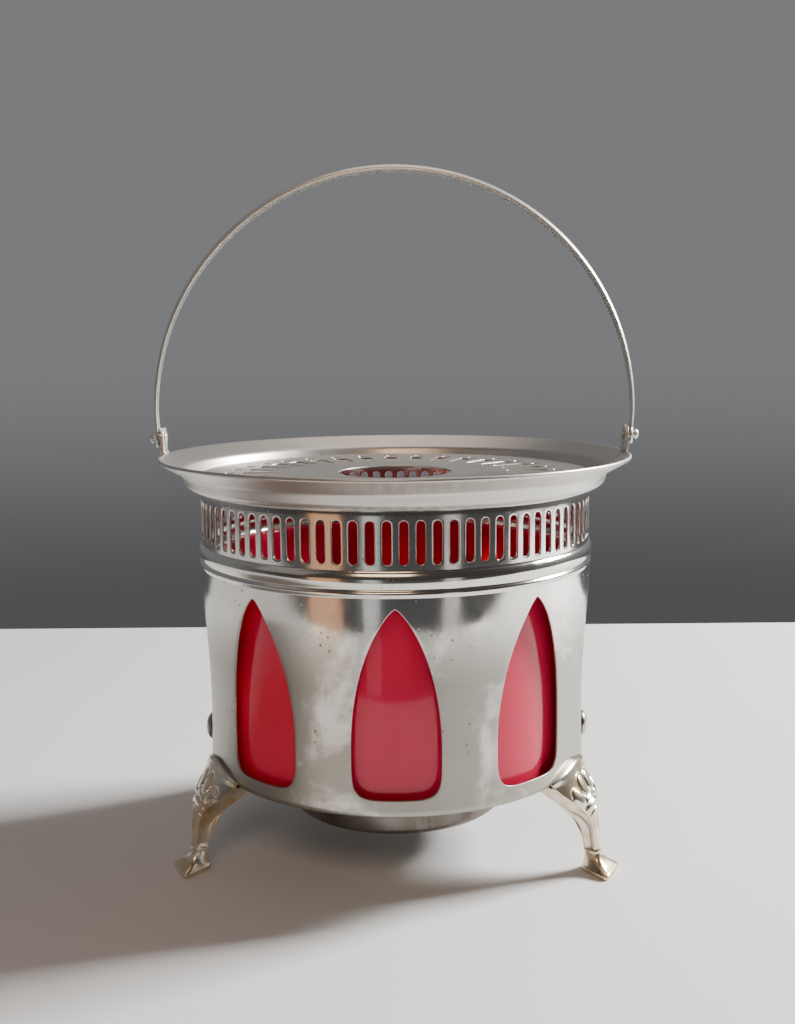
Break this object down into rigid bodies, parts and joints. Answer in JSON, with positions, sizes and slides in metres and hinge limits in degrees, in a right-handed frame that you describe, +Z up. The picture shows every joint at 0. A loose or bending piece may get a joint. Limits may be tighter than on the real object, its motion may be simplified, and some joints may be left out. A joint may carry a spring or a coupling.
{
  "type": "teapot warmer",
  "caption": "Round pierced metal teapot warmer on three cast legs, with a flared rim, lift-out pierced plate, swinging bail, red glass liner and tea light.",
  "frame": {"origin": "centre of the drum on the floor the feet stand on", "axes": "+Z up along the drum's axis, -Y towards the front window, the bail's pivots along X"},
  "size_m": [0.1572, 0.1505, 0.2174],
  "materials": {
    "silver_plate": "polished plate with light tarnish",
    "cast_plate": "polished casting, plate worn warm",
    "pan_plate": "satin plate, heat toned",
    "red_glass": "clear ruby",
    "foil": "pressed foil",
    "wax": "paraffin wax",
    "cotton": "waxed cotton wick"
  },
  "bodies": {
    "shell": {"rim_collar": "silver_plate", "drum_shell": "silver_plate", "bottom_pan": "pan_plate", "side_rivet_right": "silver_plate", "side_rivet_left": "silver_plate", "leg_right": "cast_plate", "leg_right_rivet": "silver_plate", "leg_back": "cast_plate", "leg_back_rivet": "silver_plate", "leg_left": "cast_plate", "leg_left_rivet": "silver_plate", "bail_lug_right": "silver_plate", "bail_lug_left": "silver_plate", "pivot_rivet_right": "silver_plate", "pivot_rivet_left": "silver_plate"},
    "bail": {"bail": "silver_plate"},
    "plate": {"top_plate": "silver_plate"},
    "liner": {"glass_liner": "red_glass"},
    "candle": {"candle_cup": "foil", "candle_wax": "wax", "wick_sustainer": "foil", "candle_wick": "cotton"}
  },
  "joints": [
    {"name": "bail_swing", "type": "hinge", "parent": "shell", "child": "bail", "pos_m": [0, 0, 0.1328], "axis": [1, 0, 0], "range_deg": [-127, 127]},
    {"name": "plate_lift", "type": "slide", "parent": "shell", "child": "plate", "axis": [0, 0, 1], "range_m": [0, 0.05]},
    {"name": "liner_lift", "type": "slide", "parent": "shell", "child": "liner", "axis": [0, 0, 1], "range_m": [0, 0.02]},
    {"name": "candle_lift", "type": "slide", "parent": "shell", "child": "candle", "axis": [0, 0, 1], "range_m": [0, 0.075]}
  ]
}
